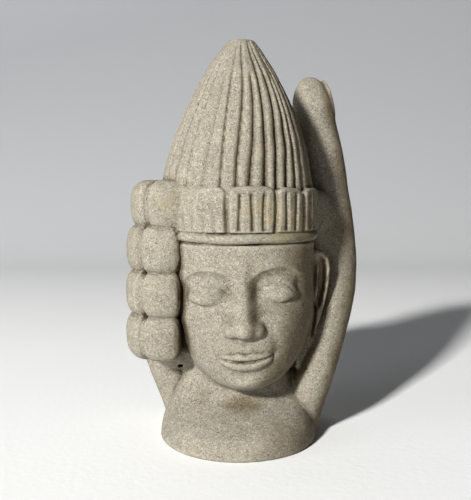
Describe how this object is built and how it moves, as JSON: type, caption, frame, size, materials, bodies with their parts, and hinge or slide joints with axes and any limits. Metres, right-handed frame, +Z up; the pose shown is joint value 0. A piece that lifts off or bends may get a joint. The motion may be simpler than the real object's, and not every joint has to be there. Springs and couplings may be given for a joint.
{
  "type": "carved stone head held by a hand",
  "caption": "Hand-sized sandstone carving of a calm head in a tall ribbed headdress, held from behind by a large hand; stands on its flat base as a desk or shelf ornament.",
  "frame": {"origin": "middle of the bounding box in X and Y, on the flat underside", "axes": "+Z up along the headdress, the face looks along -Y, the thumb stands on the +X side and the four fingers wrap round the -X side"},
  "size_m": [0.121, 0.0974, 0.2],
  "materials": {
    "sandstone": "matt, medium-grained, hand-carved and softly worn"
  },
  "bodies": {
    "root": {"stone_head_in_hand": "sandstone"}
  },
  "joints": []
}
